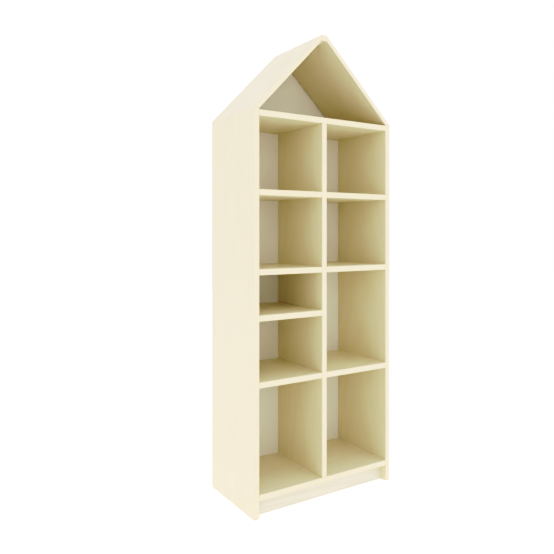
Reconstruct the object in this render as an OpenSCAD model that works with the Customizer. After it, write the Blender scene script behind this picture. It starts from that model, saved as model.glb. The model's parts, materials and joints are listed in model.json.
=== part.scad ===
// Children's bookcase in the shape of a house, of laminated boards, in millimetres.
// X runs to the right, Y to the back and Z up. The origin is on the floor, under the middle of the
// width and of the depth. Every board stands or lies square to the axes except the two roof boards.

/* [Carcass] */
// Width across the outer faces of the two sides
body_w = 540; // [460:1:760]
// Depth from the front edges to the rear edges of the sides
body_d = 280; // [250:1:340]
// Height of the ridge above the floor
ridge_h = 1483; // [1430:1:1600]
// Height above the floor of the attic floor's upper face, where the roof begins
eaves_h = 1220; // [1170:1:1270]
// Thickness of the carcass boards
board_t = 18; // [16:0.5:22]
// Thickness of the two roof boards
roof_t = 13; // [12:0.5:18]
// Middle of the divider, measured from the middle of the width
divider_x = -10; // [-50:1:50]
// Middle of the ridge bar, measured from the middle of the width
ridge_x = -10; // [-50:1:50]
// Width of the ridge bar between the two roof boards
ridge_bar_w = 20; // [16:0.5:26]
// Height of the left roof board's inner corner above the attic floor
lift_left = 4; // [0:0.5:8]
// Height of the right roof board's inner corner above the attic floor
lift_right = 1.5; // [0:0.5:8]

/* [Shelf heights] */
// Upper face of the bottom shelf above the floor
bottom_level = 72; // [64:1:100]
// Upper face of the lowest shelves, left and right
level_1 = 407; // [320:1:480]
// Upper face of the extra shelf on the left
level_2 = 606; // [540:1:660]
// Upper face of the shelves above it, left and right
level_3 = 744; // [715:1:840]
// Upper face of the highest shelves, left and right
level_4 = 983; // [920:1:1060]

/* [Plinth, back and edges] */
// Set-back of the plinth from the front edges
plinth_recess = 26; // [20:1:50]
// Thickness of the back panel
back_t = 3; // [2.5:0.1:5]
// Distance from the back panel's rear face to the rear edges of the sides
back_recess = 16; // [12:1:24]
// Depth of the groove that holds the back panel in the sides, the roof boards and the ridge bar
groove_depth = 6; // [4:0.5:7]
// Room in front of the panel in the wider groove of the roof boards and the ridge bar
roof_groove_room = 4.5; // [0.5:0.5:8]
// Thickness of the edge bands
band_t = 1; // [0.5:0.1:2]
// Height of the glides, which lift the boards off the floor
glide_h = 1.5; // [1:0.5:6]
// Diameter of the glides
glide_d = 15; // [12:0.5:16]

/* [Fittings] */
// Diameter of the cam housings
cam_d = 15; // [12:0.5:15]
// Distance from the end of a shelf to the axis of its cams
cam_reach = 34; // [24:0.5:36]
// Diameter of the dowels
dowel_d = 8; // [6:0.5:8]
// Length of a dowel inside the end of a shelf
dowel_reach = 20; // [16:1:24]
// Depth to which bolts and dowels enter a side
side_depth = 11; // [9:0.5:13]
// Distance from the front and rear edges of a shelf to its cams
fitting_inset = 56; // [50:1:62]
// Distance from a cam to the dowel beside it
fitting_step = 32; // [24:1:34]
// Length of the confirmat screws in the ends of the divider
confirmat_l = 50; // [40:1:60]
// Diameter of the dowels in the eaves and the ridge
roof_dowel_d = 6; // [4:0.5:6]
// Length of the legs of the wall brackets
bracket_leg = 30; // [25:1:34]
// Width of the wall brackets
bracket_w = 18; // [14:1:24]
// Distance of the wall brackets from the middle of the width
bracket_x = 150; // [110:1:170]
// Diameter of the hole in a wall bracket for the wall screw
wall_hole_d = 5.5; // [4:0.5:6.5]

/* [Clearances] */
// Clearance all round a pin, a dowel or a cam in its bore
fit_gap = 0.1; // [0.05:0.05:0.2]
// Clearance at the blind end of a bore and beside the back panel in its groove
end_gap = 0.3; // [0.2:0.1:0.5]

/* [Hidden] */
$fn = 48;

cream = "#f2ecd6";
cream_edge = "#f6efd9";
back_white = "#e4dcc4";
zinc = "#b9bcc0";
beech = "#cfa878";
nylon = "#ece5cf";

// Planes that the boards are set out from
inner_x = body_w / 2 - board_t;
front_y = -body_d / 2;
rear_y = body_d / 2;
panel_rear_y = rear_y - back_recess;
panel_y = panel_rear_y - back_t;
divider_left = divider_x - board_t / 2;
divider_right = divider_x + board_t / 2;
bottom_under = bottom_level - board_t;
top_under = eaves_h - board_t;

// Shelves that meet at the divider from both sides are held by fittings that pass through it
shared_levels = [level_1, level_3, level_4];
left_levels = [level_1, level_2, level_3, level_4];
right_levels = shared_levels;

// Fittings stand at these depths
cam_ys = [front_y + fitting_inset, panel_y - fitting_inset];
dowel_ys = [cam_ys[0] + fitting_step, cam_ys[1] - fitting_step];

// Cam fittings: the bolt lies in the middle of the board's thickness, and the cam reaches a little past it
cam_past_bolt = 4.5;
cam_depth = board_t / 2 + cam_past_bolt;
cam_slot_w = 1.6;
cam_slot_l = 9;
cam_slot_depth = 2;
cam_pocket_d = 7.6;
bolt_thread_d = 5;
bolt_collar_d = 7.4;
bolt_collar_l = 3;
bolt_shaft_d = 5.6;
bolt_neck_d = 3.8;
bolt_neck_l = 3.5;
bolt_head_d = 7;
bolt_head_l = 2.4;
bolt_bore_d = bolt_collar_d + 2 * fit_gap;
cap_rim = 1;
cap_d = cam_d + 2 * cap_rim;
cap_t = 1;
cap_stub_d = 3;
cap_stub_l = 1.4;
dowel_chamfer = 1;

// Fittings of the plinth: its cams below its upper edge, its dowels above its lower edge
plinth_cam_drop = 18;
plinth_dowel_rise = 14;
plinth_cam_z = bottom_under - plinth_cam_drop;
plinth_dowel_z = glide_h + plinth_dowel_rise;

// Confirmat screws and their covers
confirmat_head_d = 10;
confirmat_head_l = 3;
confirmat_shank_d = 7;
confirmat_thread_d = 5;
confirmat_hex_d = 4;
confirmat_hex_depth = 2;
cover_d = 13;
cover_t = 1.2;

// Nails of the back panel
nail_d = 1.4;
nail_l = 20;
nail_head_d = 3.6;
nail_head_t = 0.9;
nail_inset = 55;
nail_z = board_t / 2;

// Glides, each with its own nail
glide_nail_d = 2;
glide_nail_l = 14;
glide_inset = 20;

// Wall brackets and their screws
bracket_t = 2;
bracket_bend_r = 3;
bracket_hole_reach = 18;
bracket_screw_d = 4;
bracket_screw_l = 13;
bracket_head_d = 7.4;
bracket_head_l = 2.2;
bracket_cross = 1;

// Roof: each board's inner face starts at the inner top corner of its side. Its upper end is cut plumb and
// meets the side of the ridge bar. The bar's upper face is level with the boards' outer corners, and its
// underside with the higher of their inner corners
function bar_side(s) = ridge_x + s * ridge_bar_w / 2;
function eave_inner(s) = [s * inner_x, eaves_h + (s < 0 ? lift_left : lift_right)];
function run(s) = inner_x - s * bar_side(s);
function rise(s) = ridge_h - eave_inner(s)[1];
function pitch(s) = atan2(rise(s), run(s)) - asin(roof_t / norm([run(s), rise(s)]));
function down(s) = [s * cos(pitch(s)), -sin(pitch(s))];
function ridge_outer(s) = [bar_side(s), ridge_h];
function ridge_inner(s) = [bar_side(s), ridge_h - roof_t / cos(pitch(s))];
function eave_outer(s) = [s * body_w / 2, ridge_h - tan(pitch(s)) * (body_w / 2 - s * bar_side(s))];
bar_under = max(ridge_inner(-1)[1], ridge_inner(1)[1]);

// Dowels of the roof: upright in the eaves, and level through the ridge bar, halfway between the faces of
// the boards that they enter
eaves_dowel_in = 5.5;
eaves_dowel_up = 8;
eaves_dowel_down = 20;
ridge_dowel_in = 6;
mean_pitch = (pitch(-1) + pitch(1)) / 2;
ridge_dowel_z = ridge_h - (roof_t / cos(mean_pitch) + ridge_dowel_in * tan(mean_pitch)) / 2;
roof_dowel_inset = 20;
roof_dowel_ys = [front_y + roof_dowel_inset, 0, panel_y - roof_dowel_inset];

// Outline of the back panel: the inside of the house, grown outwards by e into the grooves
function house_eave(s, e) = [s * (inner_x + e), eave_inner(s)[1] + e * (1 / cos(pitch(s)) - tan(pitch(s)))];
function house_top(s, e) = [
    s * (inner_x - (bar_under + e - eave_inner(s)[1] - e / cos(pitch(s))) / tan(pitch(s))),
    bar_under + e
];
function house(e) = [
    [-inner_x - e, bottom_under], [inner_x + e, bottom_under],
    house_eave(1, e), house_top(1, e), house_top(-1, e), house_eave(-1, e)
];

// A block between two corners
module block(low, high) {
    translate(low) cube(high - low);
}

// Stands an outline drawn in X and Z up, and gives it the depth from y0 to y1
module stand(y0, y1) {
    translate([0, y1, 0]) rotate([90, 0, 0]) linear_extrude(y1 - y0) children();
}

// Turns what is drawn along +Z to run along X, to the right for s = 1 and to the left for s = -1
module along_x(s) {
    rotate([0, s * 90, 0]) children();
}

// Turns what is drawn along +Z to run to the back
module to_back() {
    rotate([-90, 0, 0]) children();
}

// Groove for the back panel in the inner face of a side, open at both ends
module side_groove(s) {
    stand(panel_y - end_gap, panel_rear_y + end_gap) polygon([
        [s * (inner_x - board_t), 0], [s * (inner_x + groove_depth), 0],
        [s * (inner_x + groove_depth), ridge_h], [s * (inner_x - board_t), ridge_h]
    ]);
}

// The wider groove in the inner face of a roof board, along its slope and out through both ends
module roof_groove(s) {
    out = [s * sin(pitch(s)), cos(pitch(s))];
    top = ridge_inner(s) - board_t * down(s);
    foot = eave_inner(s) + board_t * down(s);
    stand(panel_y - roof_groove_room, panel_rear_y + end_gap)
        polygon([
            top - roof_t * out, foot - roof_t * out,
            foot + groove_depth * out, top + groove_depth * out
        ]);
}

// The same groove in the underside of the ridge bar, out through both its sides
module bar_groove() {
    block(
        [bar_side(-1) - board_t, panel_y - roof_groove_room, bar_under - board_t],
        [bar_side(1) + board_t, panel_rear_y + end_gap, bar_under + groove_depth]
    );
}

// Bores in an upright board's face at x for one shelf that extends towards s
module face_bores(x, s, z) {
    for (y = cam_ys)
        translate([x, y, z]) along_x(-s) cylinder(d = bolt_thread_d + 2 * fit_gap, h = side_depth + end_gap);
    for (y = dowel_ys)
        translate([x, y, z]) along_x(-s) cylinder(d = dowel_d + 2 * fit_gap, h = side_depth + end_gap);
}

// Bores in the end of a shelf at x, which extends towards s, for bolts, cams and dowels
module end_bores(x, s, level) {
    z = level - board_t / 2;
    for (y = cam_ys) {
        translate([x, y, z]) along_x(s) cylinder(d = bolt_bore_d, h = cam_reach);
        translate([x + s * cam_reach, y, level - board_t])
            cylinder(d = cam_d + 2 * fit_gap, h = cam_depth + end_gap);
    }
    for (y = dowel_ys)
        translate([x, y, z]) along_x(s) cylinder(d = dowel_d + 2 * fit_gap, h = dowel_reach + end_gap);
}

// One bore for a nail, from the rear edge of a board
module nail_bore(x, z) {
    translate([x, panel_y, z]) rotate([90, 0, 0])
        cylinder(d = nail_d + 2 * fit_gap, h = nail_l - back_t + end_gap);
}

// A lying board from x0 to x1 with its bands, fittings and nails in mind
module shelf(x0, x1, level) {
    difference() {
        block([x0, front_y + band_t, level - board_t], [x1, panel_y, level]);
        end_bores(x0, 1, level);
        end_bores(x1, -1, level);
        for (x = [x0 + nail_inset, x1 - nail_inset]) nail_bore(x, level - nail_z);
    }
}

module shelf_band(x0, x1, level) {
    color(cream_edge) block([x0, front_y, level - board_t], [x1, front_y + band_t, level]);
}

module band_divider() {
    color(cream_edge)
        block([divider_left, front_y, bottom_level], [divider_right, front_y + band_t, top_under]);
}

module side_outline(s) {
    polygon([[s * inner_x, glide_h], [s * body_w / 2, glide_h], eave_outer(s), eave_inner(s)]);
}

module roof_outline(s) {
    polygon([ridge_outer(s), ridge_inner(s), eave_inner(s), eave_outer(s)]);
}

module bar_outline() {
    polygon([[bar_side(-1), bar_under], [bar_side(1), bar_under], ridge_outer(1), ridge_outer(-1)]);
}

// Heights of the boards that end at the side s
function side_levels(s) = concat([bottom_level], s < 0 ? left_levels : right_levels, [eaves_h]);

module side(s) {
    color(cream) difference() {
        stand(front_y + band_t, rear_y - band_t) side_outline(s);
        side_groove(s);
        for (level = side_levels(s)) face_bores(s * inner_x, -s, level - board_t / 2);
        plinth_side_bores(s);
        for (y = roof_dowel_ys) eaves_dowel(s, y, fit_gap, end_gap);
        for (y = [front_y + glide_inset, rear_y - glide_inset])
            translate([s * (inner_x + board_t / 2), y, glide_h])
                cylinder(d = glide_nail_d + 2 * fit_gap, h = glide_nail_l + end_gap);
    }
}

// One dowel of the eaves, larger all round by gap and longer at each end by more, so that it also cuts
// its own bore
module eaves_dowel(s, y, gap, more) {
    joint = eave_inner(s) + (eave_outer(s) - eave_inner(s)) * eaves_dowel_in / board_t;
    translate([joint[0], y, joint[1] - eaves_dowel_down - more])
        cylinder(d = roof_dowel_d + 2 * gap, h = eaves_dowel_down + eaves_dowel_up + 2 * more);
}

// One dowel through the ridge bar into both roof boards, with the same allowances
module ridge_dowel(y, gap, more) {
    translate([bar_side(-1) - ridge_dowel_in - more, y, ridge_dowel_z]) along_x(1)
        cylinder(d = roof_dowel_d + 2 * gap, h = ridge_bar_w + 2 * (ridge_dowel_in + more));
}

module roof(s) {
    color(cream) difference() {
        stand(front_y + band_t, rear_y - band_t) roof_outline(s);
        roof_groove(s);
        for (y = roof_dowel_ys) {
            eaves_dowel(s, y, fit_gap, end_gap);
            ridge_dowel(y, fit_gap, end_gap);
        }
    }
}

module ridge_bar() {
    color(cream) difference() {
        stand(front_y + band_t, rear_y - band_t) bar_outline();
        bar_groove();
        for (y = roof_dowel_ys) ridge_dowel(y, fit_gap, end_gap);
    }
}

// Bands on the front and the rear edges of a side, a roof board or the ridge bar
module edge_pair() {
    color(cream_edge) {
        stand(front_y, front_y + band_t) children();
        stand(rear_y - band_t, rear_y) children();
    }
}

module top_shelf() {
    color(cream) difference() {
        shelf(-inner_x, inner_x, eaves_h);
        for (x = [divider_left - nail_inset, divider_right + nail_inset]) nail_bore(x, eaves_h - nail_z);
        for (y = dowel_ys) translate([divider_x, y, eaves_h]) mirror([0, 0, 1]) confirmat_bore();
        for (s = [-1, 1]) bracket_screw_at(s) bracket_screw_bore();
    }
}

module bottom_shelf() {
    color(cream) difference() {
        shelf(-inner_x, inner_x, bottom_level);
        for (x = [divider_left - nail_inset, divider_right + nail_inset]) nail_bore(x, bottom_level - nail_z);
        for (y = dowel_ys) translate([divider_x, y, bottom_under]) confirmat_bore();
    }
}

module divider() {
    color(cream) difference() {
        block([divider_left, front_y + band_t, bottom_level], [divider_right, panel_y, top_under]);
        for (level = shared_levels) {
            z = level - board_t / 2;
            for (y = cam_ys)
                translate([divider_left, y, z]) along_x(1) cylinder(d = bolt_bore_d, h = board_t);
            for (y = dowel_ys)
                translate([divider_left, y, z]) along_x(1) cylinder(d = dowel_d + 2 * fit_gap, h = board_t);
        }
        face_bores(divider_left, -1, level_2 - board_t / 2);
        for (y = dowel_ys) {
            translate([divider_x, y, bottom_under]) confirmat_bore();
            translate([divider_x, y, eaves_h]) mirror([0, 0, 1]) confirmat_bore();
        }
        for (z = bay_middles) nail_bore(divider_x, z);
    }
}

// Heights halfway up the bays of the right-hand side, where nails enter the divider
bay_middles = [
    (bottom_level + level_1) / 2,
    (level_1 + level_3) / 2,
    (level_3 + level_4) / 2,
    (level_4 + top_under) / 2
];

module shelf_left(n) {
    color(cream) shelf(-inner_x, divider_left, left_levels[n - 1]);
}

module shelf_right(n) {
    color(cream) shelf(divider_right, inner_x, right_levels[n - 1]);
}

// Plinth board, its middle in depth and its rear face
plinth_y = front_y + plinth_recess;
plinth_mid_y = plinth_y + board_t / 2;

module plinth() {
    color(cream) difference() {
        block([-inner_x, plinth_y, glide_h], [inner_x, plinth_y + board_t, bottom_under]);
        for (s = [-1, 1]) {
            translate([s * inner_x, plinth_mid_y, plinth_cam_z]) along_x(-s)
                cylinder(d = bolt_bore_d, h = cam_reach);
            translate([s * (inner_x - cam_reach), plinth_y + board_t, plinth_cam_z]) rotate([90, 0, 0])
                cylinder(d = cam_d + 2 * fit_gap, h = cam_depth + end_gap);
            translate([s * inner_x, plinth_mid_y, plinth_dowel_z]) along_x(-s)
                cylinder(d = dowel_d + 2 * fit_gap, h = dowel_reach + end_gap);
        }
    }
}

module plinth_side_bores(s) {
    translate([s * inner_x, plinth_mid_y, plinth_cam_z]) along_x(s)
        cylinder(d = bolt_thread_d + 2 * fit_gap, h = side_depth + end_gap);
    translate([s * inner_x, plinth_mid_y, plinth_dowel_z]) along_x(s)
        cylinder(d = dowel_d + 2 * fit_gap, h = side_depth + end_gap);
}

// Centres of the nails, as x and z
shelf_nails = concat(
    [for (level = left_levels) each [
        [-inner_x + nail_inset, level - nail_z],
        [divider_left - nail_inset, level - nail_z]
    ]],
    [for (level = right_levels) each [
        [divider_right + nail_inset, level - nail_z],
        [inner_x - nail_inset, level - nail_z]
    ]]
);
long_shelf_nails = [for (level = [bottom_level, eaves_h]) each [
    [-inner_x + nail_inset, level - nail_z],
    [divider_left - nail_inset, level - nail_z],
    [divider_right + nail_inset, level - nail_z],
    [inner_x - nail_inset, level - nail_z]
]];
divider_nails = [for (z = bay_middles) [divider_x, z]];
nails = concat(shelf_nails, long_shelf_nails, divider_nails);

module back_panel() {
    color(back_white) difference() {
        stand(panel_y, panel_rear_y) polygon(house(groove_depth - end_gap));
        for (n = nails)
            translate([n[0], panel_y, n[1]]) to_back() cylinder(d = nail_d + 2 * fit_gap, h = back_t);
        for (s = [-1, 1])
            translate([s * bracket_x, panel_y, wall_hole_z]) to_back() cylinder(d = wall_hole_d, h = back_t);
    }
}

module back_nails() {
    color(zinc) for (n = nails)
        translate([n[0], panel_rear_y, n[1]]) {
            rotate([90, 0, 0]) cylinder(d = nail_d, h = nail_l);
            to_back() cylinder(d = nail_head_d, h = nail_head_t);
        }
}

// Cam housing, drawn upwards from the face of its board, with its bolt coming from the side towards +X
module cam() {
    difference() {
        cylinder(d = cam_d, h = cam_depth);
        translate([-bolt_head_l / 2 - end_gap, 0, board_t / 2]) along_x(1)
            cylinder(d = cam_pocket_d, h = cam_d);
        block([-cam_slot_l / 2, -cam_slot_w / 2, 0], [cam_slot_l / 2, cam_slot_w / 2, cam_slot_depth]);
        block([-cam_slot_w / 2, -cam_slot_l / 2, 0], [cam_slot_w / 2, cam_slot_l / 2, cam_slot_depth]);
    }
}

// The four cams at the ends of a shelf
module shelf_cams(x0, x1, level) {
    for (y = cam_ys) {
        translate([x0 + cam_reach, y, level - board_t]) rotate(180) cam();
        translate([x1 - cam_reach, y, level - board_t]) cam();
    }
}

module cams_left() {
    color(zinc) for (level = left_levels) shelf_cams(-inner_x, divider_left, level);
}

module cams_right() {
    color(zinc) for (level = right_levels) shelf_cams(divider_right, inner_x, level);
}

module cams_plinth() {
    color(zinc) for (s = [-1, 1])
        translate([s * (inner_x - cam_reach), plinth_y + board_t, plinth_cam_z]) rotate([90, 0, 0])
            rotate(s > 0 ? 0 : 180) cam();
}

// Push-in cover on a cam, with a stub that fits the cam's cross
module cam_cap() {
    translate([0, 0, -cap_t]) cylinder(d = cap_d, h = cap_t);
    cylinder(d = cam_slot_w - 2 * fit_gap, h = cap_stub_l);
}

module shelf_caps(x0, x1, level) {
    for (y = cam_ys, x = [x0 + cam_reach, x1 - cam_reach]) translate([x, y, level - board_t]) cam_cap();
}

module caps_left() {
    color(nylon) for (level = left_levels) shelf_caps(-inner_x, divider_left, level);
}

module caps_right() {
    color(nylon) for (level = right_levels) shelf_caps(divider_right, inner_x, level);
}

module caps_top() {
    color(nylon) shelf_caps(-inner_x, inner_x, eaves_h);
}

// Part of a cam bolt that lies in a shelf: collar, shaft, neck and head, drawn upwards from the joint
module bolt_inside() {
    neck_z = cam_reach - bolt_head_l / 2 - bolt_neck_l;
    cylinder(d = bolt_collar_d, h = bolt_collar_l);
    cylinder(d = bolt_shaft_d, h = neck_z);
    cylinder(d = bolt_neck_d, h = cam_reach);
    translate([0, 0, cam_reach - bolt_head_l / 2]) cylinder(d = bolt_head_d, h = bolt_head_l);
}

// Screw-in bolt: the joint is at z = 0 and the thread goes down into the upright board
module cam_bolt() {
    bolt_inside();
    translate([0, 0, -side_depth]) cylinder(d = bolt_thread_d, h = side_depth);
}

module face_bolts(x, s, levels) {
    for (level = levels, y = cam_ys) translate([x, y, level - board_t / 2]) along_x(s) cam_bolt();
}

module bolts_side(s) {
    color(zinc) {
        face_bolts(s * inner_x, -s, side_levels(s));
        translate([s * inner_x, plinth_mid_y, plinth_cam_z]) along_x(-s) cam_bolt();
    }
}

module bolts_divider() {
    color(zinc) face_bolts(divider_left, -1, [level_2]);
}

// Double-ended bolt through the divider
module bolts_double() {
    color(zinc) for (level = shared_levels, y = cam_ys)
        translate([divider_x, y, level - board_t / 2]) for (s = [-1, 1]) along_x(s) {
            cylinder(d = bolt_collar_d, h = board_t / 2);
            translate([0, 0, board_t / 2]) bolt_inside();
        }
}

// A dowel from depth a on one side of the joint to depth b on the other, with chamfered ends
module dowel(a, b) {
    r = dowel_d / 2;
    translate([0, 0, -a]) rotate_extrude() polygon([
        [0, 0], [r - dowel_chamfer, 0], [r, dowel_chamfer],
        [r, a + b - dowel_chamfer], [r - dowel_chamfer, a + b], [0, a + b]
    ]);
}

module face_dowels(x, s, levels) {
    for (level = levels, y = dowel_ys)
        translate([x, y, level - board_t / 2]) along_x(s) dowel(side_depth, dowel_reach);
}

module dowels_side(s) {
    color(beech) {
        face_dowels(s * inner_x, -s, side_levels(s));
        translate([s * inner_x, plinth_mid_y, plinth_dowel_z]) along_x(-s) dowel(side_depth, dowel_reach);
    }
}

module dowels_divider() {
    color(beech) face_dowels(divider_left, -1, [level_2]);
}

module dowels_through() {
    color(beech) for (level = shared_levels, y = dowel_ys)
        translate([divider_x, y, level - board_t / 2]) along_x(1)
            dowel(dowel_reach + board_t / 2, dowel_reach + board_t / 2);
}

module dowels_eaves() {
    color(beech) for (s = [-1, 1], y = roof_dowel_ys) eaves_dowel(s, y, 0, 0);
}

module dowels_ridge() {
    color(beech) for (y = roof_dowel_ys) ridge_dowel(y, 0, 0);
}

// Confirmat screw, drawn upwards from the face that its head is flush with
module confirmat() {
    difference() {
        union() {
            cylinder(d = confirmat_head_d, h = confirmat_head_l);
            cylinder(d = confirmat_shank_d, h = board_t);
            cylinder(d = confirmat_thread_d, h = confirmat_l);
        }
        cylinder(d = confirmat_hex_d, h = confirmat_hex_depth, $fn = 6);
    }
}

// Stepped bore for it
module confirmat_bore() {
    cylinder(d = confirmat_head_d + 2 * fit_gap, h = confirmat_head_l);
    cylinder(d = confirmat_shank_d + 2 * fit_gap, h = board_t);
    cylinder(d = confirmat_thread_d + 2 * fit_gap, h = confirmat_l + end_gap);
}

module screws_bottom() {
    color(zinc) for (y = dowel_ys) translate([divider_x, y, bottom_under]) confirmat();
}

module screws_top() {
    color(zinc) for (y = dowel_ys) translate([divider_x, y, eaves_h]) mirror([0, 0, 1]) confirmat();
}

// Push-in covers on the confirmat heads in the attic, each with a stub in the head's socket
module screw_caps() {
    color(nylon) for (y = dowel_ys) translate([divider_x, y, eaves_h]) {
        cylinder(d = cover_d, h = cover_t);
        translate([0, 0, -cap_stub_l]) cylinder(d = cap_stub_d, h = cap_stub_l);
    }
}

module glides() {
    color(nylon) for (s = [-1, 1], y = [front_y + glide_inset, rear_y - glide_inset])
        translate([s * (inner_x + board_t / 2), y, 0]) {
            cylinder(d = glide_d, h = glide_h);
            cylinder(d = glide_nail_d, h = glide_h + glide_nail_l);
        }
}

// Wall bracket: one leg lies on the attic floor, the other stands against the back panel. Each leg has its
// hole at the same reach from the corner, and ends in a half circle
wall_hole_z = eaves_h + bracket_hole_reach;
bracket_screw_y = panel_y - bracket_hole_reach;

module bracket_screw_at(s) {
    translate([s * bracket_x, bracket_screw_y, eaves_h]) children();
}

module bracket_screw_bore() {
    translate([0, 0, -bracket_screw_l - end_gap])
        cylinder(d = bracket_screw_d + 2 * fit_gap, h = bracket_screw_l + end_gap);
}

module wall_bracket(s) {
    x0 = s * bracket_x - bracket_w / 2;
    x1 = s * bracket_x + bracket_w / 2;
    bend_y = panel_y - bracket_bend_r;
    bend_z = eaves_h + bracket_bend_r;
    end = bracket_leg - bracket_w / 2;
    color(zinc) difference() {
        union() {
            block([x0, panel_y - end, eaves_h], [x1, bend_y, eaves_h + bracket_t]);
            translate([s * bracket_x, panel_y - end, eaves_h]) cylinder(d = bracket_w, h = bracket_t);
            block([x0, panel_y - bracket_t, bend_z], [x1, panel_y, eaves_h + end]);
            translate([s * bracket_x, panel_y, eaves_h + end]) rotate([90, 0, 0])
                cylinder(d = bracket_w, h = bracket_t);
            intersection() {
                translate([x0, bend_y, bend_z]) along_x(1) difference() {
                    cylinder(r = bracket_bend_r, h = bracket_w);
                    cylinder(r = bracket_bend_r - bracket_t, h = bracket_w);
                }
                block([x0, bend_y, eaves_h], [x1, panel_y, bend_z]);
            }
        }
        bracket_screw_at(s) cylinder(d = bracket_screw_d + 2 * fit_gap, h = bracket_t);
        translate([s * bracket_x, panel_y, wall_hole_z]) rotate([90, 0, 0])
            cylinder(d = wall_hole_d, h = bracket_t);
    }
}

module bracket_screws() {
    color(zinc) for (s = [-1, 1]) bracket_screw_at(s) difference() {
        union() {
            translate([0, 0, -bracket_screw_l])
                cylinder(d = bracket_screw_d, h = bracket_screw_l + bracket_t);
            translate([0, 0, bracket_t]) cylinder(d = bracket_head_d, h = bracket_head_l);
        }
        for (turn = [0, 90])
            translate([0, 0, bracket_t + bracket_head_l - bracket_cross]) rotate(turn) block(
                [-bracket_screw_d / 2, -bracket_cross / 2, 0],
                [bracket_screw_d / 2, bracket_cross / 2, bracket_cross]
            );
    }
}

side(-1);  // side_left
side(1);  // side_right
roof(-1);  // roof_left
roof(1);  // roof_right
top_shelf();
bottom_shelf();
divider();
shelf_left(1);  // shelf_left_1
shelf_left(2);  // shelf_left_2
shelf_left(3);  // shelf_left_3
shelf_left(4);  // shelf_left_4
shelf_right(1);  // shelf_right_1
shelf_right(2);  // shelf_right_2
shelf_right(3);  // shelf_right_3
ridge_bar();
plinth();
back_panel();
edge_pair() side_outline(-1);  // band_side_left
edge_pair() side_outline(1);  // band_side_right
edge_pair() roof_outline(-1);  // band_roof_left
edge_pair() roof_outline(1);  // band_roof_right
edge_pair() bar_outline();  // band_ridge_bar
shelf_band(-inner_x, inner_x, eaves_h);  // band_top_shelf
shelf_band(-inner_x, inner_x, bottom_level);  // band_bottom_shelf
band_divider();
shelf_band(-inner_x, divider_left, left_levels[0]);  // band_shelf_left_1
shelf_band(-inner_x, divider_left, left_levels[1]);  // band_shelf_left_2
shelf_band(-inner_x, divider_left, left_levels[2]);  // band_shelf_left_3
shelf_band(-inner_x, divider_left, left_levels[3]);  // band_shelf_left_4
shelf_band(divider_right, inner_x, right_levels[0]);  // band_shelf_right_1
shelf_band(divider_right, inner_x, right_levels[1]);  // band_shelf_right_2
shelf_band(divider_right, inner_x, right_levels[2]);  // band_shelf_right_3
cams_left();
cams_right();
color(zinc) shelf_cams(-inner_x, inner_x, eaves_h);  // cams_top
color(zinc) shelf_cams(-inner_x, inner_x, bottom_level);  // cams_bottom
cams_plinth();
bolts_side(-1);  // bolts_side_left
bolts_side(1);  // bolts_side_right
bolts_divider();
bolts_double();
caps_left();
caps_right();
caps_top();
dowels_side(-1);  // dowels_side_left
dowels_side(1);  // dowels_side_right
dowels_divider();
dowels_through();
dowels_eaves();
dowels_ridge();
screws_bottom();
screws_top();
screw_caps();
back_nails();
glides();
wall_bracket(-1);  // wall_bracket_left
wall_bracket(1);  // wall_bracket_right
bracket_screws();
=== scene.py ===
# %% [markdown]
# # A house-shaped bookcase for a child's room
# The shelf is built of cream melamine-faced boards with plastic bands on their cut edges and a thin
# white back. Its boards, bores and fittings come from the construction model, already in place, so
# this lesson is about looks: the camera, the light, the finishes, and the small parts whose shape a
# drill or a moulding tool gives them.

# %% Load the fixed frame
import json
import math
from collections import namedtuple

import bmesh
import bpy
from mathutils import Matrix, Vector


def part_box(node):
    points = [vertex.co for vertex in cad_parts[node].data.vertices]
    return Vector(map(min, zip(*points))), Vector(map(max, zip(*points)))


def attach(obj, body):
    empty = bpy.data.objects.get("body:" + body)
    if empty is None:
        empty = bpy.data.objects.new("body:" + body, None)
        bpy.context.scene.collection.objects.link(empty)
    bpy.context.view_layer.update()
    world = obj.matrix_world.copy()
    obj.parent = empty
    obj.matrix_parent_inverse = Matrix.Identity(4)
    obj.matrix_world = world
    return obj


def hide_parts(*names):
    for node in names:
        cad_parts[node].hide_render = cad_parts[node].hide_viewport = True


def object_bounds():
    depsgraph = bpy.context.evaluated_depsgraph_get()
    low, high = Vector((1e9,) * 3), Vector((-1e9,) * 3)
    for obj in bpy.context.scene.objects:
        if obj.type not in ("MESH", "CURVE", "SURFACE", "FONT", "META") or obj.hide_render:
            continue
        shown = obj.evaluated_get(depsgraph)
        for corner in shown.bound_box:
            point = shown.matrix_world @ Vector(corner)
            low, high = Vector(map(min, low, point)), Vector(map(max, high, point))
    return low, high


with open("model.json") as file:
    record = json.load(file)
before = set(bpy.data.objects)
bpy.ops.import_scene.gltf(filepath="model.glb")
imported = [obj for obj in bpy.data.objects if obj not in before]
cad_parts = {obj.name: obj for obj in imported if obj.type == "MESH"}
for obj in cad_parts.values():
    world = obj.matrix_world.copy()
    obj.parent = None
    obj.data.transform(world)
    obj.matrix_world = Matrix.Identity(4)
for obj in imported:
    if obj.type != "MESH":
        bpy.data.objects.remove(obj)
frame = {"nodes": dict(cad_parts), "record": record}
cad_low, cad_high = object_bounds()
MM = 0.001


def size_in_mm(low, high):
    return [round((b - a) / MM, 1) for a, b in zip(low, high)]


print("boards and fittings loaded:", len(frame["nodes"]))
print("their size in millimetres:", size_in_mm(cad_low, cad_high))

# %% [markdown]
# ## The camera
# A photograph with upright edges that stay parallel was taken with the camera level. Its horizon lies
# above the middle of the picture, so the lens is shifted a little and not tilted. The place and the
# focal length below were worked out from the shelf's own edges, whose sizes are known.

# %% Camera
PHOTO_SIZE = 554
FOCAL_PIXELS = 588.8
HORIZON_ROW = 232.1
CAMERA_PLACE = (-1.1486, -1.6437, 0.8547)
LEVEL = math.radians(90)
CAMERA_TURN = math.radians(-32.52)
SENSOR_WIDTH = 36.0
FARTHEST_VIEW = 50.0


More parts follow.
